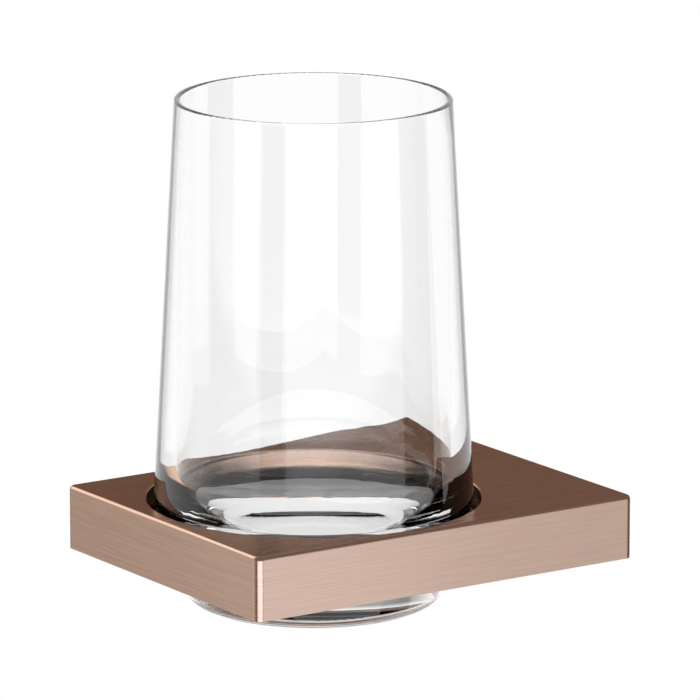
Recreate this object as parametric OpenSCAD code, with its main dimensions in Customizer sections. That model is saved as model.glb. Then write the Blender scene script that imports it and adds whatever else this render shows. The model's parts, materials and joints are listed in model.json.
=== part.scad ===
// Wall-mounted tumbler holder: a flat metal plate with a round bore, a conical
// seat in the bore with a thin black ring on top of it, and a heavy glass tumbler
// that stands in the seat.
// The plate hides its fixing: it slips over a short wall plate and two grub
// screws clamp it from below.
//
// Millimetres. The wall is the plane y = 0 and the holder reaches out to -Y.
// +Z is up, and z = 0 is the mid-height of the plate.

/* [Holder plate] */
// Width of the plate along the wall
plate_w = 87; // [86:1:120]
// Distance that the plate reaches out from the wall
plate_reach = 111; // [110:1:130]
// Thickness of the plate
plate_t = 16; // [16:0.5:20]
// Rounding of the upper edges
edge_r = 1; // [0.5:0.1:1]
// Rounding of the four upright corners
corner_r = 2; // [2:0.1:4]

/* [Bore for the tumbler] */
// Diameter of the bore
bore_d = 83; // [82.6:0.1:83.4]
// Distance of the bore's axis from the wall
bore_from_wall = 66; // [62:0.5:67]
// Depth from the plate's top to the ledge that carries the seat
ledge_depth = 14.5; // [13:0.5:14.5]
// Diameter of the opening inside the ledge
ledge_d = 71.5; // [71.5:0.5:75]
// Bevel around the bore's upper edge
bore_bevel = 0.3; // [0.1:0.05:0.4]

/* [Seat] */
// Height of the grey conical insert that stands on the ledge
insert_h = 7.4; // [5:0.1:8.4]
// Height of the black ring on top of the insert
ring_h = 1.3; // [1.2:0.1:2.4]
// Rounding of the ring's upper edges
ring_edge_r = 0.5; // [0.3:0.1:0.6]
// Radial play of the seat in the bore
seat_play = 0.2; // [0.1:0.05:0.4]
// Gap between the seat and the glass
seat_gap = 0.15; // [0.1:0.05:0.3]

/* [Tumbler] */
// Overall height
tumbler_h = 126.5; // [110:0.5:140]
// How far the tumbler's base hangs below the plate's top
base_drop = 26.3; // [24:0.1:28]
// Outer diameter at the rim
rim_d = 68.2; // [64:0.1:72]
// Thickness of the glass at the rim
rim_wall = 1.35; // [1.3:0.05:2]
// Rounding of the rim's two edges
rim_r = 0.6; // [0.3:0.05:0.6]
// Widest diameter, at the heel
heel_d = 79.2; // [78.4:0.1:79.8]
// Height of the heel above the base
heel_h = 26.5; // [24:0.5:28]
// Rounding of the heel
heel_r = 1; // [0.5:0.5:4]
// Diameter at which the sloping foot would meet the base
foot_d = 62.4; // [58:0.1:64]
// Rounding between foot and base
foot_r = 5; // [3:0.5:7]
// Diameter at which the cavity's wall would meet its floor
cavity_d = 69.4; // [66:0.1:70.4]
// Thickness of the solid base under the cavity
base_solid = 10; // [8.5:0.5:20]
// Rounding between the cavity's wall and its floor
cavity_r = 26; // [12:0.5:28]

/* [Wall fixing] */
// Length of the wall plate
wall_plate_w = 68; // [62:1:72]
// Height of the wall plate
wall_plate_h = 9.6; // [9:0.1:10]
// Depth of the wall plate from the wall
wall_plate_d = 8; // [7:0.5:9]
// Distance between the two wall screws
screw_spacing = 40; // [36:1:44]
// Diameter of the wall screw holes
screw_hole_d = 4.5; // [4:0.1:4.8]
// Diameter of their countersinks
countersink_d = 8.4; // [7:0.1:8.8]
// Distance between the two grub screws
grub_spacing = 56; // [54:1:58]
// Thread diameter of the grub screws
grub_d = 4; // [3:0.5:4]

/* [Hidden] */
$fn = 96;
eps = 0.5; // how far a cut runs past the face that it opens

plate_top = plate_t / 2;
bore_r = bore_d / 2;
ledge_z = plate_top - ledge_depth;
ring_z = ledge_z + insert_h;
base_z = plate_top - base_drop;
rim_z = base_z + tumbler_h;
heel_z = base_z + heel_h;
heel_in = heel_d / 2;

pocket_play = 0.1; // above, below and beside the wall plate
pocket_depth = wall_plate_d + 1;
countersink_depth = (countersink_d - screw_hole_d) / 2;
groove_depth = 2; // of the V groove under the wall plate, which has 45 degree flanks
groove_y = -4;
grub_offset = 0.4; // the points bear on the groove's front flank and draw the holder to the wall
grub_play = 0.05; // around the grub screws' threads
grub_sunk = 0.5; // how far the grub screws sit inside the plate's underside
grub_tip_r = 0.5;
grub_gap = 0.05; // between the points and the groove's front flank
hex_af = 2; // across the flats of the grub screws' sockets
hex_depth = 1.8;

// the point between a and b, given from its height z
function along(a, b, z) = a + (b - a) * (z - a[1]) / (b[1] - a[1]);
function unit(v) = v / norm(v);

// Centre and the two tangent points of a rounding of radius r in the corner b between a and c
function rounding(a, b, c, r) =
    let (
        u = unit(a - b),
        v = unit(c - b),
        half = acos(u * v) / 2
    )
    [b + unit(u + v) * r / sin(half), b + u * r / tan(half), b + v * r / tan(half)];

// A convex outline whose corners are rounded by the radii in r, where 0 leaves a corner sharp
module rounded_convex(p, r) {
    n = len(p);
    fillets = [for (i = [0 : n - 1]) rounding(p[(i + n - 1) % n], p[i], p[(i + 1) % n], r[i])];
    polygon([for (i = [0 : n - 1]) each (r[i] > 0 ? [fillets[i][1], fillets[i][2]] : [p[i]])]);
    for (i = [0 : n - 1])
        if (r[i] > 0)
            translate(fillets[i][0]) circle(r[i]);
}

// What the rounding of radius r takes off a shape's corner b, between a and c
module rounding_waste(a, b, c, r) {
    fillet = rounding(a, b, c, r);
    difference() {
        polygon([fillet[1], b + unit(b - fillet[0]) * eps, fillet[2]]);
        translate(fillet[0]) circle(r);
    }
}

// The sharp corners of the tumbler's outline, as [radius, height]
foot = [foot_d / 2, base_z];
heel = [heel_in, heel_z];
rim_out = [rim_d / 2, rim_z];
rim_in = [rim_d / 2 - rim_wall, rim_z];
floor_out = [cavity_d / 2, base_z + base_solid];

// Radius of the glass's sloping foot at height z
function foot_at(z) = along(foot, heel, z)[0];

// Material outside a rounding of radius r along a straight upper edge that runs along +X
module edge_waste(length, r) {
    difference() {
        translate([0, 0, -r]) cube([length, r + eps, r + eps]);
        translate([-eps, 0, -r]) rotate([0, 90, 0]) cylinder(r = r, h = length + 2 * eps);
    }
}

// Material outside the upright corner at +X +Y, whose upper edge is rounded too
module corner_waste() {
    difference() {
        translate([0, 0, -plate_t / 2 - eps]) cube([corner_r + eps, corner_r + eps, plate_t + 2 * eps]);
        rotate_extrude() {
            translate([0, -plate_t / 2 - 2 * eps]) square([corner_r, plate_t + 2 * eps - edge_r]);
            translate([0, -plate_t / 2]) square([corner_r - edge_r, plate_t]);
            translate([corner_r - edge_r, plate_top - edge_r]) circle(edge_r);
        }
    }
}

module plate_blank() {
    across = plate_w / 2 - corner_r;
    along_y = plate_reach / 2 - corner_r;
    translate([0, -plate_reach / 2, 0])
    difference() {
        cube([plate_w, plate_reach, plate_t], center = true);
        for (side = [-1, 1]) {
            for (end = [-1, 1]) scale([side, end, 1]) translate([across, along_y, 0]) corner_waste();
            scale([side, 1, 1]) translate([plate_w / 2 - edge_r, along_y, plate_top])
                rotate(-90) edge_waste(2 * along_y, edge_r);
            scale([1, side, 1]) translate([-across, plate_reach / 2 - edge_r, plate_top])
                edge_waste(2 * across, edge_r);
        }
    }
}

// The pocket that slips over the wall plate, and the two threaded holes into it
module fixing_cuts() {
    translate([-wall_plate_w / 2 - pocket_play, -pocket_depth, -wall_plate_h / 2 - pocket_play])
        cube([wall_plate_w + 2 * pocket_play, pocket_depth + eps, wall_plate_h + 2 * pocket_play]);
    for (side = [-1, 1])
        translate([side * grub_spacing / 2, groove_y - grub_offset, -plate_top - eps])
            cylinder(r = grub_d / 2 + grub_play, h = plate_top + eps);
}

module holder_body() {
    color([0.62, 0.44, 0.36])
    difference() {
        plate_blank();
        translate([0, -bore_from_wall, 0]) {
            translate([0, 0, ledge_z]) cylinder(r = bore_r, h = ledge_depth + eps);
            translate([0, 0, -plate_top - eps]) cylinder(d = ledge_d, h = plate_t);
            translate([0, 0, plate_top - bore_bevel])
                cylinder(r1 = bore_r, r2 = bore_r + bore_bevel + eps, h = bore_bevel + eps);
        }
        fixing_cuts();
    }
}

// A ring around the glass between two heights, whose inner face is the cone of the
// glass's foot, moved out by the gap; edge_r rounds its two upper edges
module seat_part(bottom, top, edge_r) {
    outer = bore_r - seat_play;
    translate([0, -bore_from_wall, 0])
    rotate_extrude()
    rounded_convex(
        [
            [foot_at(bottom) + seat_gap, bottom],
            [outer, bottom],
            [outer, top],
            [foot_at(top) + seat_gap, top]
        ],
        [0, 0, edge_r, edge_r]
    );
}

module seat_insert() {
    color([0.5, 0.5, 0.51]) seat_part(ledge_z, ring_z, 0);
}

module seat_ring() {
    color([0.05, 0.05, 0.055]) seat_part(ring_z, ring_z + ring_h, ring_edge_r);
}

module tumbler() {
    mouth = rim_z + eps; // the cavity's cut runs on past the rim
    color([0.85, 0.9, 0.92, 0.4])
    translate([0, -bore_from_wall, 0])
    rotate_extrude()
    difference() {
        rounded_convex(
            [[0, base_z], foot, heel, rim_out, [0, rim_z]],
            [0, foot_r, heel_r, rim_r, 0]
        );
        rounded_convex(
            [[0, floor_out[1]], floor_out, along(floor_out, rim_in, mouth), [0, mouth]],
            [0, cavity_r, 0, 0]
        );
        rounding_waste(floor_out, rim_in, rim_out, rim_r);
    }
}

// A short bar with two countersunk holes and a V groove along its underside
module wall_plate() {
    groove_side = groove_depth * sqrt(2);
    color([0.62, 0.63, 0.64])
    difference() {
        translate([-wall_plate_w / 2, -wall_plate_d, -wall_plate_h / 2])
            cube([wall_plate_w, wall_plate_d, wall_plate_h]);
        for (side = [-1, 1]) translate([side * screw_spacing / 2, 0, 0]) rotate([90, 0, 0]) {
            translate([0, 0, -eps]) cylinder(d = screw_hole_d, h = wall_plate_d + 2 * eps);
            translate([0, 0, wall_plate_d - countersink_depth])
                cylinder(d1 = screw_hole_d, d2 = countersink_d + 2 * eps, h = countersink_depth + eps);
        }
        translate([0, groove_y, -wall_plate_h / 2])
            rotate([45, 0, 0]) cube([wall_plate_w + 2 * eps, groove_side, groove_side], center = true);
    }
}

// Cone point upwards in the groove, hexagon socket downwards in the plate's underside
module grub_screw(side) {
    r = grub_d / 2;
    bottom = -plate_top + grub_sunk;
    tip = -wall_plate_h / 2 + groove_depth - grub_offset - grub_tip_r - grub_gap;
    cone_h = r - grub_tip_r;
    color([0.25, 0.25, 0.27])
    translate([side * grub_spacing / 2, groove_y - grub_offset, 0])
    difference() {
        union() {
            translate([0, 0, bottom]) cylinder(r = r, h = tip - cone_h - bottom);
            translate([0, 0, tip - cone_h]) cylinder(r1 = r, r2 = grub_tip_r, h = cone_h);
        }
        translate([0, 0, bottom - eps])
            cylinder(d = hex_af / cos(30), h = hex_depth + eps, $fn = 6);
    }
}

holder_body();
seat_insert();
seat_ring();
tumbler();
wall_plate();
grub_screw(-1);  // grub_screw_left
grub_screw(1);  // grub_screw_right
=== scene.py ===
"""Looks for the wall-mounted tumbler holder: materials, studio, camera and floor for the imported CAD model."""

import json
import math

import bpy
from mathutils import Matrix, Vector


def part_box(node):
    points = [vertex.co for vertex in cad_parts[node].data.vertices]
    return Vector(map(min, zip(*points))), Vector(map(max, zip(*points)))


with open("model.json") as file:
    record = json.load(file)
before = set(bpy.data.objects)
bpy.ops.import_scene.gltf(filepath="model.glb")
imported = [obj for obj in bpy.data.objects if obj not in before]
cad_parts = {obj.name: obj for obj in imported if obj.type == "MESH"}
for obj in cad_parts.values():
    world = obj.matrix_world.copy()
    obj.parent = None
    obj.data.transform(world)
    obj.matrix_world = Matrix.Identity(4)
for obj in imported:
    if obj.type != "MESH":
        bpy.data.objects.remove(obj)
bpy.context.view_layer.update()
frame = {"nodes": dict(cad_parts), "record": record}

# Places that the CAD model gives, in metres
plate_lo, plate_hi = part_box("holder_body")
glass_lo, glass_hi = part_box("tumbler")
PLATE_TOP = plate_hi.z
BORE_AXIS = (glass_lo + glass_hi) / 2

# Camera
CAMERA_AZIMUTH = math.radians(56.17)  # 0 looks along +Y, 90 along -X
CAMERA_ELEVATION = math.radians(12.90)
CAMERA_DISTANCE = 1.6726
CAMERA_LENS = 347.7
AIM_RIGHT = 0.00893
AIM_UP = 0.03602

# Floor
FLOOR_DROP = 0.30
FLOOR_SIZE = 8.0
FLOOR_COLOUR = (0.9, 0.9, 0.9, 1)


def direction(azimuth, elevation):
    """The unit vector from the object towards an azimuth and elevation, in radians as for the camera."""
    level = math.cos(elevation)
    return Vector((math.sin(azimuth) * level, -math.cos(azimuth) * level, math.sin(elevation)))


# ---------------------------------------------------------------- camera


def make_camera():
    """Looks at a point beside the bore's axis, from the outer right-hand side."""
    back = direction(CAMERA_AZIMUTH, CAMERA_ELEVATION)
    right = Vector((math.cos(CAMERA_AZIMUTH), math.sin(CAMERA_AZIMUTH), 0))
    up = back.cross(right)
    aim = Vector((BORE_AXIS.x, BORE_AXIS.y, PLATE_TOP)) + right * AIM_RIGHT + up * AIM_UP
    data = bpy.data.cameras.new("camera")
    data.lens = CAMERA_LENS
    data.clip_start, data.clip_end = 0.01, 20
    camera = bpy.data.objects.new("camera", data)
    camera.matrix_world = Matrix.Translation(aim + back * CAMERA_DISTANCE) @ Matrix(
        (right, up, back)
    ).transposed().to_4x4()
    bpy.context.scene.collection.objects.link(camera)
    bpy.context.scene.camera = camera


# ---------------------------------------------------------------- node helpers


class Nodes:
    """A short way to write a node tree: each call adds one node and returns its output socket."""

    def __init__(self, tree):
        self.tree = tree
        self.tree.nodes.clear()

    def add(self, kind, inputs=None, output=0, **settings):
        node = self.tree.nodes.new(kind)
        for name, value in settings.items():
            setattr(node, name, value)
        for name, value in (inputs or {}).items():
            self.put(node.inputs[name], value)
        return node.outputs[output] if node.outputs else None

    def put(self, socket, value):
        if isinstance(value, bpy.types.NodeSocket):
            self.tree.links.new(value, socket)
        else:
            socket.default_value = value

    def maths(self, operation, *values):
        return self.add("ShaderNodeMath", dict(enumerate(values)), operation=operation)

    def vector(self, operation, *values, output=0):
        return self.add("ShaderNodeVectorMath", dict(enumerate(values)), output, operation=operation)

    def scaled(self, vector, sizes):
        """vector with each axis multiplied by its own number."""
        return self.vector("MULTIPLY", vector, sizes)

    def noise(self, vector, scale, detail=2.0, roughness=0.5):
        return self.add(
            "ShaderNodeTexNoise",
            {"Vector": vector, "Scale": scale, "Detail": detail, "Roughness": roughness},
        )

    def remap(self, value, low, high, to_low, to_high, smooth=False):
        """value from low..high to to_low..to_high, and no further."""
        kind = "SMOOTHSTEP" if smooth else "LINEAR"
        values = dict(enumerate((value, low, high, to_low, to_high)))
        return self.add("ShaderNodeMapRange", values, interpolation_type=kind, clamp=True)

    def mix(self, factor, a, b):
        """The colour a at factor 0 and b at factor 1."""
        return self.add("ShaderNodeMix", {0: factor, 6: a, 7: b}, 2, data_type="RGBA")

    def mix_number(self, factor, a, b):
        return self.add("ShaderNodeMix", {0: factor, 2: a, 3: b}, data_type="FLOAT")

    def mix_vector(self, factor, a, b):
        return self.add("ShaderNodeMix", {0: factor, 4: a, 5: b}, 1, data_type="VECTOR")


def material(name, build):
    made = bpy.data.materials.new(name)
    made.use_nodes = True
    nodes = Nodes(made.node_tree)
    nodes.add("ShaderNodeOutputMaterial", {"Surface": build(nodes)})
    return made


def principled(nodes, **inputs):
    """A Principled shader; a keyword stands for the socket of that name, with _ for a space."""
    named = {name.replace("_", " ").title().replace("Ior", "IOR"): value for name, value in inputs.items()}
    return nodes.add("ShaderNodeBsdfPrincipled", named)


# ---------------------------------------------------------------- materials

NOISE_RANGE = (0.3, 0.7)  # nearly all of a noise texture's values lie between these


def brushed_bronze(nodes):
    """Bronze-coloured metal, brushed level on the sides and in the bore, along Y on the top and underside."""
    place = nodes.add("ShaderNodeTexCoord", output="Object")
    normal = nodes.add("ShaderNodeNewGeometry", output="Normal")
    split = nodes.add("ShaderNodeSeparateXYZ", {0: normal}, "Z")
    # 1 on the top and the underside, and 0 on the sides and in the bore
    level = nodes.remap(nodes.maths("ABSOLUTE", split), 0.6, 0.8, 0.0, 1.0, smooth=True)

    def strokes(along, across, detail):
        side = nodes.noise(nodes.scaled(place, (along, along, across)), 1.0, detail, 0.65)
        top = nodes.noise(nodes.scaled(place, (across, along, along)), 1.0, detail, 0.65)
        return nodes.mix_number(level, side, top)

    coarse = strokes(50.0, 2400.0, 3.0)
    fine = strokes(200.0, 9000.0, 1.0)
    broad = nodes.noise(place, 22.0)
    tone = nodes.maths("MULTIPLY_ADD", coarse, 0.8, nodes.maths("MULTIPLY", broad, 0.2))
    tone = nodes.remap(tone, *NOISE_RANGE, 0.0, 1.0)
    colour = nodes.mix(tone, (0.625, 0.44, 0.352, 1), (0.775, 0.55, 0.448, 1))
    bump = nodes.add("ShaderNodeBump", {"Strength": 0.15, "Distance": 0.00001, "Height": fine})
    tangent = nodes.mix_vector(level, (0.0, 0.0, 1.0), (1.0, 0.0, 0.0))
    return principled(
        nodes,
        base_color=colour,
        metallic=1.0,
        roughness=nodes.remap(coarse, *NOISE_RANGE, 0.22, 0.28),
        anisotropic=0.5,
        tangent=tangent,
        normal=bump,
        specular_tint=(0.80, 0.62, 0.52, 1),
    )


def satin_plastic(nodes, dark, light, smoothest, roughest, **more):
    """Satin moulded plastic with a very fine grain."""
    place = nodes.add("ShaderNodeTexCoord", output="Object")
    grain = nodes.noise(place, 5000.0)
    broad = nodes.noise(place, 60.0)
    colour = nodes.mix(broad, dark, light)
    bump = nodes.add("ShaderNodeBump", {"Strength": 0.3, "Distance": 0.00003, "Height": grain})
    roughness = nodes.remap(broad, *NOISE_RANGE, smoothest, roughest)
    return principled(nodes, base_color=colour, roughness=roughness, normal=bump, **more)


def black_plastic(nodes):
    dark, light = (0.008, 0.008, 0.009, 1), (0.016, 0.016, 0.017, 1)
    return satin_plastic(nodes, dark, light, 0.24, 0.32, specular_ior_level=0.05)


def grey_plastic(nodes):
    dark, light = (0.58, 0.58, 0.58, 1), (0.66, 0.66, 0.66, 1)
    return satin_plastic(nodes, dark, light, 0.40, 0.50)


def clear_glass(nodes):
    """Clear glass whose surface waves very slightly, as drawn glass does."""
    place = nodes.add("ShaderNodeTexCoord", output="Object")
    waves = nodes.noise(nodes.scaled(place, (1.0, 1.0, 0.25)), 30.0, detail=0.0)
    bump = nodes.add("ShaderNodeBump", {"Strength": 0.1, "Distance": 0.00002, "Height": waves})
    return principled(
        nodes,
        base_color=(0.995, 0.998, 0.997, 1),
        roughness=0.0,
        ior=1.5,
        transmission_weight=1.0,
        normal=bump,
    )


def zinc_steel(nodes):
    """Zinc-plated steel with its faint mottling."""
    place = nodes.add("ShaderNodeTexCoord", output="Object")
    mottle = nodes.noise(place, 400.0, detail=4.0)
    lines = nodes.noise(nodes.scaled(place, (80.0, 3000.0, 3000.0)), 1.0)
    colour = nodes.mix(mottle, (0.50, 0.51, 0.52, 1), (0.66, 0.67, 0.68, 1))
    bump = nodes.add("ShaderNodeBump", {"Strength": 0.3, "Distance": 0.00003, "Height": lines})
    return principled(
        nodes,
        base_color=colour,
        metallic=1.0,
        roughness=nodes.remap(mottle, *NOISE_RANGE, 0.28, 0.42),
        normal=bump,
    )


def black_steel(nodes):
    """Blackened hardened steel, slightly oily."""
    place = nodes.add("ShaderNodeTexCoord", output="Object")
    mottle = nodes.noise(place, 900.0, detail=3.0)
    colour = nodes.mix(mottle, (0.05, 0.05, 0.055, 1), (0.11, 0.11, 0.115, 1))
    bump = nodes.add("ShaderNodeBump", {"Strength": 0.2, "Distance": 0.00002, "Height": mottle})
    return principled(
        nodes,
        base_color=colour,
        metallic=1.0,
        roughness=nodes.remap(mottle, *NOISE_RANGE, 0.32, 0.5),
        normal=bump,
    )


FINISHES = {
    "brushed_bronze": brushed_bronze,
    "black_plastic": black_plastic,
    "grey_plastic": grey_plastic,
    "clear_glass": clear_glass,
    "zinc_steel": zinc_steel,
    "black_steel": black_steel,
}


MERGE_DISTANCE = 0.000001  # joins points that lie at one place and no others


def join_patches(node):
    """Joins the tumbler's surface patches, which all run on smoothly, and lets the large faces set the
    shading where they meet small ones."""
    tree = bpy.data.node_groups.new("join patches", "GeometryNodeTree")
    for way in ("INPUT", "OUTPUT"):
        tree.interface.new_socket("Geometry", in_out=way, socket_type="NodeSocketGeometry")
    nodes = Nodes(tree)
    mesh = nodes.add("NodeGroupInput")
    mesh = nodes.add("GeometryNodeMergeByDistance", {"Geometry": mesh, "Distance": MERGE_DISTANCE})
    mesh = nodes.add("GeometryNodeRemoveAttribute", {"Geometry": mesh, "Name": "custom_normal"})
    mesh = nodes.add("GeometryNodeSetShadeSmooth", {"Geometry": mesh})
    nodes.add("NodeGroupOutput", {"Geometry": mesh})
    node.modifiers.new("join patches", "NODES").node_group = tree
    weighted = node.modifiers.new("large faces first", "WEIGHTED_NORMAL")
    weighted.mode = "FACE_AREA_WITH_ANGLE"
    weighted.keep_sharp = False


def dress_nodes():
    """Gives each CAD node the material of its slot in the record."""
    made = {slot: material(slot, build) for slot, build in FINISHES.items()}
    for part in frame["record"]["subparts"]:
        node = frame["nodes"][part["node"]]
        for holder in node.material_slots:
            holder.material = made[part["material_slot"]]
    join_patches(frame["nodes"]["tumbler"])


# ---------------------------------------------------------------- studio

# What the metal mirrors: a dim warm studio with soft patches of light, each with the azimuth and elevation
# that it is seen at, the angles where its edge starts and ends (degrees), and its colour
SURROUND = (0.195, 0.148, 0.122)
PATCHES = {
    "left overhead": (-75, 33, 10, 30, (1.25, 1.2, 1.15)),
    "left front": (-56, -13, 20, 60, (0.345, 0.37, 0.367)),
    "right behind": (124, -22, 14, 28, (0.58, 0.64, 0.68)),
}
# What the glass mirrors: walls on the camera's side and at the back, with black gaps between them, each with
# the azimuths where it starts and ends. The wall ahead has a black band too, with the elevations where its
# lower and its upper edge start and end.
WALL_AHEAD, WALL_BEHIND = 1.5, 1.05
BAND = {"lower edge": (-12.5, -11.5), "upper edge": (-7.7, -7.3)}
GAPS = {"right of the camera": (13, 33), "right behind": (130, 163)}
# What is seen straight through the glass: a WHITE floor and horizon, and above them a GREY room that gets
# lighter towards its CEILING. Each change is given by the Z of the directions where it starts and ends.
WHITE, GREY, CEILING = 0.96, 0.28, 1.0
WHITE_TO_GREY, GREY_TO_CEILING = (0.06, 0.10), (0.15, 0.35)
# What is seen through the glass after a mirroring: a half-bright room ahead, on the camera's side, and a dark
# one behind. The floor glows to this light with a painted pool of light, brightest under the holder, that dims
# between DIM_FROM and DIM_TO metres. From there on, and behind, the gaps are painted on it too, as dark bands.
ROOM_AHEAD, ROOM_BEHIND = 0.5, 0.09
FLOOR_GLOW_UNDER, FLOOR_GLOW_AHEAD, FLOOR_GLOW_BEHIND = 2.2, 1.3, 1.0
DIM_FROM, DIM_TO = 0.6, 0.9
# The camera's side starts and ends where a level direction's cosine with the camera's is this
BEHIND, AHEAD = -0.1, 0.3
# Light has been mirrored once or more when its count of mirrorings, a whole number, is above this
HALF_A_BOUNCE = 0.5
# Softboxes below the plate's top, each with its place, the way that it faces, its length and height, and its
# radiance. Their ends give the faces their falloff, and the brightest one makes the near corner's highlight.
SOFTBOXES = {
    "softbox right": ((0.42, -0.52, -0.175), "-X", 0.86, 0.35, 1.9),
    "softbox right behind": ((0.25, -0.04, -0.10), "-X", 0.245, 0.20, 0.29),
    "softbox front": ((-0.235, -0.361, -0.10), "+Y", 0.27, 0.20, 0.17),
}
SOFTBOX_COLOUR = (0.80, 0.89, 1.0)
TURNS = {"-X": (math.pi / 2, 0, math.pi / 2), "+Y": (math.pi / 2, 0, 0)}


def studio(nodes, ray):
    """What the metal and the plastic mirror."""
    light = None
    for azimuth, elevation, inner, outer, colour in PATCHES.values():
        towards = direction(math.radians(azimuth), math.radians(elevation))
        facing = nodes.vector("DOT_PRODUCT", ray, tuple(towards), output="Value")
        angles = (math.cos(math.radians(outer)), math.cos(math.radians(inner)))
        patch = nodes.mix(nodes.remap(facing, *angles, 0.0, 1.0, smooth=True), (0, 0, 0, 1), (*colour, 1))
        light = patch if light is None else nodes.vector("ADD", light, patch)
    return nodes.vector("ADD", light, SURROUND)


def ahead(nodes, towards):
    """1 on the camera's side of the holder and 0 behind it."""
    facing = nodes.vector("DOT_PRODUCT", towards, tuple(direction(CAMERA_AZIMUTH, 0)), output="Value")
    return nodes.remap(facing, BEHIND, AHEAD, 0.0, 1.0, smooth=True)


def gaps(nodes, towards):
    """1 in the gaps between the walls and 0 elsewhere."""
    level = nodes.vector("NORMALIZE", nodes.scaled(towards, (1.0, 1.0, 0.0)))
    gap = None
    for start, end in GAPS.values():
        middle, half = math.radians((start + end) / 2), math.radians((end - start) / 2)
        facing = nodes.vector("DOT_PRODUCT", level, tuple(direction(middle, 0)), output="Value")
        inside = nodes.maths("GREATER_THAN", facing, math.cos(half))
        gap = inside if gap is None else nodes.maths("MAXIMUM", gap, inside)
    return gap


def walls(nodes, ray):
    """What the glass mirrors."""
    height = nodes.add("ShaderNodeSeparateXYZ", {0: ray}, "Z")
    lower, upper = ([math.sin(math.radians(elevation)) for elevation in edge] for edge in BAND.values())
    below = nodes.remap(height, *lower, WALL_AHEAD, 0.0)
    above = nodes.remap(height, *upper, 0.0, WALL_AHEAD)
    wall = nodes.mix_number(ahead(nodes, ray), WALL_BEHIND, nodes.maths("ADD", below, above))
    return nodes.mix_number(gaps(nodes, ray), wall, 0.0)


def seen_through(nodes, path, straight, after_mirror):
    """How bright a place is to light that comes to it through the glass, straight and after a mirroring."""
    was_mirrored = nodes.maths("GREATER_THAN", path.outputs["Glossy Depth"], HALF_A_BOUNCE)
    clear = nodes.mix_number(path.outputs["Is Transmission Ray"], 1.0, straight)
    return nodes.mix_number(was_mirrored, clear, after_mirror)


def make_world():
    world = bpy.data.worlds.new("studio")
    bpy.context.scene.world = world
    world.use_nodes = True
    nodes = Nodes(world.node_tree)
    ray = nodes.add("ShaderNodeTexCoord", output="Generated")
    path = nodes.tree.nodes.new("ShaderNodeLightPath")
    mirrored = nodes.mix(path.outputs["Is Singular Ray"], studio(nodes, ray), walls(nodes, ray))
    room = nodes.mix_number(ahead(nodes, ray), ROOM_BEHIND, ROOM_AHEAD)
    height = nodes.add("ShaderNodeSeparateXYZ", {0: ray}, "Z")
    grey = nodes.remap(height, *GREY_TO_CEILING, GREY, CEILING)
    straight = nodes.mix_number(nodes.remap(height, *WHITE_TO_GREY, 0.0, 1.0, smooth=True), WHITE, grey)
    seen = nodes.mix(path.outputs["Is Reflection Ray"], seen_through(nodes, path, straight, room), mirrored)
    nodes.add("ShaderNodeOutputWorld", {"Surface": nodes.add("ShaderNodeBackground", {"Color": seen})})


def make_softboxes():
    """Area lights that light the metal and the plastic. The glass mirrors the walls in their place."""
    lit = bpy.data.collections.new("lit by the softboxes")
    for part in frame["record"]["subparts"]:
        if part["material_slot"] != "clear_glass":
            lit.objects.link(frame["nodes"][part["node"]])
    for name, (place, facing, length, height, radiance) in SOFTBOXES.items():
        data = bpy.data.lights.new(name, "AREA")
        data.shape = "RECTANGLE"
        data.size, data.size_y = length, height
        data.energy = radiance * math.pi * length * height
        data.color = SOFTBOX_COLOUR
        softbox = bpy.data.objects.new(name, data)
        softbox.location = place
        softbox.rotation_euler = TURNS[facing]
        softbox.visible_camera = False
        softbox.visible_transmission = False
        softbox.light_linking.receiver_collection = lit
        bpy.context.scene.collection.objects.link(softbox)


def make_floor():
    """A white floor well below the holder. It is clear from below, so that the underside can be seen. It glows,
    white to the camera and, to light mirrored in the glass, with a painted pool of light under the holder and
    painted dark gaps.
    """

    def white(nodes):
        path = nodes.tree.nodes.new("ShaderNodeLightPath")
        plain = nodes.add("ShaderNodeBsdfDiffuse", {"Color": FLOOR_COLOUR})
        place = nodes.add("ShaderNodeTexCoord", output="Object")
        away = nodes.vector("LENGTH", place, output="Value")
        # painted shade: the gaps are painted into the floor's glow as dark bands
        shade = nodes.maths("SUBTRACT", 1.0, gaps(nodes, place))
        far, back = (nodes.maths("MULTIPLY", shade, light) for light in (FLOOR_GLOW_AHEAD, FLOOR_GLOW_BEHIND))
        front = nodes.remap(away, DIM_FROM, DIM_TO, FLOOR_GLOW_UNDER, far, smooth=True)
        floor = nodes.mix_number(ahead(nodes, nodes.vector("NORMALIZE", place)), back, front)
        # painted light: the floor glows white to the camera and, after a mirroring in the glass, with a painted
        # pool of light under the holder
        bright = nodes.add("ShaderNodeEmission", {"Strength": seen_through(nodes, path, WHITE, floor)})
        direct = nodes.maths("MAXIMUM", path.outputs["Is Camera Ray"], path.outputs["Is Transmission Ray"])
        top = nodes.add("ShaderNodeMixShader", {0: direct, 1: plain, 2: bright})
        clear = nodes.add("ShaderNodeBsdfTransparent")
        below = nodes.add("ShaderNodeNewGeometry", output="Backfacing")
        return nodes.add("ShaderNodeMixShader", {0: below, 1: top, 2: clear})

    bpy.ops.mesh.primitive_plane_add(size=FLOOR_SIZE, location=(0, 0, plate_lo.z - FLOOR_DROP))
    floor = bpy.context.object
    floor.name = "floor"
    floor.data.materials.append(material("floor", white))
    floor.visible_glossy = False


BOUNCES = 24  # a ray crosses up to eight surfaces of glass and is mirrored inside its base
TRANSPARENT_BOUNCES = 16


def make_view():
    """Plain colours, and enough bounces for the glass."""
    scene = bpy.context.scene
    scene.view_settings.view_transform = "Standard"
    scene.cycles.use_denoising = True
    scene.cycles.use_adaptive_sampling = False
    scene.cycles.max_bounces = BOUNCES
    scene.cycles.transmission_bounces = BOUNCES
    scene.cycles.transparent_max_bounces = TRANSPARENT_BOUNCES


make_camera()
dress_nodes()
make_world()
make_softboxes()
make_floor()
make_view()
